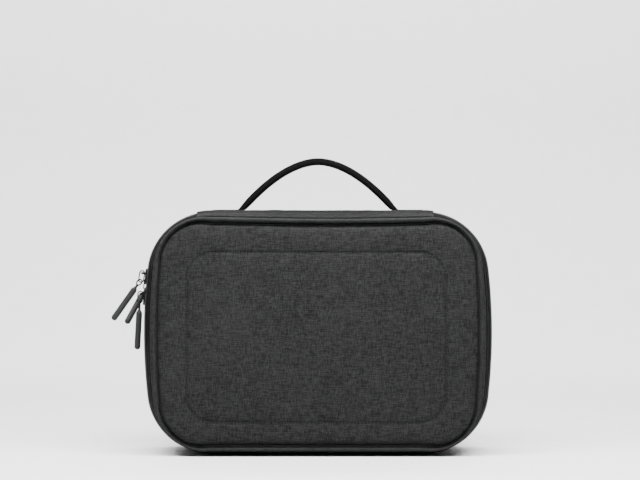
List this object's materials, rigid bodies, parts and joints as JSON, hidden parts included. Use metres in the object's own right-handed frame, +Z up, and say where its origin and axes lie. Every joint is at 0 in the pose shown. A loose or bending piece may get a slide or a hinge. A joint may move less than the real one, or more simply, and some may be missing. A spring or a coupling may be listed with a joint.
{
  "type": "cable organizer pouch",
  "caption": "Semi-rigid zip pouch for cables: padded lid with mesh pockets, divided base, webbing handle and corded zip pulls.",
  "frame": {"origin": "on the floor, in the middle of the case's width and depth, on the flat long side the case stands on", "axes": "+X along the case's width to the right as seen from the front, -Y out of the lid's front face, +Z up through the handle"},
  "size_m": [0.2677, 0.078, 0.2085],
  "materials": {
    "heather_fabric": "heather dark grey plain weave",
    "gusset_fabric": "heather dark grey plain weave",
    "piping_fabric": "bias-cut woven cover",
    "strip_fabric": "plain weave",
    "board": "moulded foam board",
    "tape": "ribbed zip tape",
    "coil": "nylon coil",
    "binding": "woven binding tape",
    "dark_lining": "brushed loop fabric",
    "light_lining": "smooth tricot",
    "backing": "smooth satin weave",
    "mesh": "knitted mesh",
    "elastic": "ribbed elastic",
    "webbing": "ribbed webbing",
    "thread": "twisted thread",
    "divider_fabric": "brushed loop fabric over foam",
    "hook_tape": "hook tape",
    "slider_metal": "black enamel",
    "cord": "braided cord",
    "grip": "moulded soft plastic, matte"
  },
  "bodies": {
    "case": {"back_panel": "heather_fabric", "back_stiffener": "board", "base_gusset": "gusset_fabric", "base_piping": "piping_fabric", "base_zip_tape": "tape", "base_zip_coil": "coil", "base_zip_stops": "coil", "base_rim_binding": "binding", "base_lining_wall": "dark_lining", "base_lining_floor": "dark_lining", "hinge_strip_base": "strip_fabric", "handle_anchor_left": "webbing", "handle_anchor_right": "webbing", "pocket_zip_tape": "tape", "pocket_zip_coil": "coil", "pocket_zip_stops": "coil"},
    "handle": {"handle_strap": "webbing"},
    "lid": {"lid_panel": "heather_fabric", "lid_outline_seam": "thread", "lid_stiffener": "board", "lid_gusset": "gusset_fabric", "lid_piping": "piping_fabric", "lid_zip_tape": "tape", "lid_zip_coil": "coil", "lid_rim_binding": "binding", "lid_lining": "light_lining", "hinge_strip_lid": "strip_fabric", "pocket_backing": "backing", "pocket_border_binding": "binding", "mesh_pockets": "mesh", "mesh_hem": "mesh", "elastic_band": "elastic", "band_bar_tacks": "thread"},
    "left_divider": {"divider_left": "divider_fabric", "divider_left_hooks": "hook_tape"},
    "right_divider": {"divider_right": "divider_fabric", "divider_right_hooks": "hook_tape"},
    "cross_divider": {"divider_cross": "divider_fabric", "divider_cross_hooks": "hook_tape"},
    "upper_runner": {"upper_slider": "slider_metal"},
    "upper_wire": {"upper_ring": "slider_metal"},
    "upper_pull": {"upper_cord_loop": "cord", "upper_grip": "grip"},
    "lower_runner": {"lower_slider": "slider_metal"},
    "lower_wire": {"lower_ring": "slider_metal"},
    "lower_pull": {"lower_cord_loop": "cord", "lower_grip": "grip"},
    "pocket_runner": {"pocket_slider": "slider_metal"},
    "pocket_wire": {"pocket_ring": "slider_metal"},
    "pocket_pull": {"pocket_cord_loop": "cord", "pocket_grip": "grip"}
  },
  "joints": [
    {"name": "lid_hinge", "type": "hinge", "parent": "case", "child": "lid", "pos_m": [0, -0.015, 0.17], "axis": [-1, 0, 0], "range_deg": [0, 120]},
    {"name": "handle_fold", "type": "hinge", "parent": "case", "child": "handle", "pos_m": [0, 0.021, 0.1717], "axis": [-1, 0, 0], "range_deg": [0, 80], "stiffness_Nm_per_rad": 0.02, "springref_deg": -5.73},
    {"name": "left_divider_slide", "type": "slide", "parent": "case", "child": "left_divider", "axis": [-1, 0, 0], "range_m": [0, 0.02]},
    {"name": "right_divider_slide", "type": "slide", "parent": "case", "child": "right_divider", "axis": [1, 0, 0], "range_m": [0, 0.02]},
    {"name": "cross_divider_slide", "type": "slide", "parent": "case", "child": "cross_divider", "axis": [0, 0, 1], "range_m": [-0.025, 0.025]},
    {"name": "upper_slider_travel", "type": "hinge", "parent": "case", "child": "upper_runner", "pos_m": [0.2775, 0, 0.085], "axis": [0, 1, 0], "range_deg": [0, 0.57]},
    {"name": "lower_slider_travel", "type": "hinge", "parent": "case", "child": "lower_runner", "pos_m": [0.2775, 0, 0.085], "axis": [0, -1, 0], "range_deg": [0, 9.1]},
    {"name": "pocket_slider_travel", "type": "hinge", "parent": "case", "child": "pocket_runner", "pos_m": [0.2775, 0, 0.085], "axis": [0, -1, 0], "range_deg": [0, 10.2]},
    {"name": "upper_ring_swing", "type": "hinge", "parent": "upper_runner", "child": "upper_wire", "pos_m": [-0.12364, -0.015, 0.12671], "axis": [0, 1, 0], "range_deg": [0, 45]},
    {"name": "upper_pull_swing", "type": "hinge", "parent": "upper_wire", "child": "upper_pull", "pos_m": [-0.12438, -0.015, 0.12207], "axis": [0, 1, 0], "range_deg": [0, 45]},
    {"name": "lower_ring_swing", "type": "hinge", "parent": "lower_runner", "child": "lower_wire", "pos_m": [-0.12489, -0.015, 0.1122], "axis": [0, 1, 0], "range_deg": [0, 12]},
    {"name": "lower_pull_swing", "type": "hinge", "parent": "lower_wire", "child": "lower_pull", "pos_m": [-0.1253, -0.015, 0.10752], "axis": [0, 1, 0], "range_deg": [0, 12]},
    {"name": "pocket_ring_swing", "type": "hinge", "parent": "pocket_runner", "child": "pocket_wire", "pos_m": [-0.12427, 0.0298, 0.12016], "axis": [0, 1, 0], "range_deg": [0, 45]},
    {"name": "pocket_pull_swing", "type": "hinge", "parent": "pocket_wire", "child": "pocket_pull", "pos_m": [-0.12484, 0.0298, 0.1155], "axis": [0, 1, 0], "range_deg": [0, 30]}
  ]
}
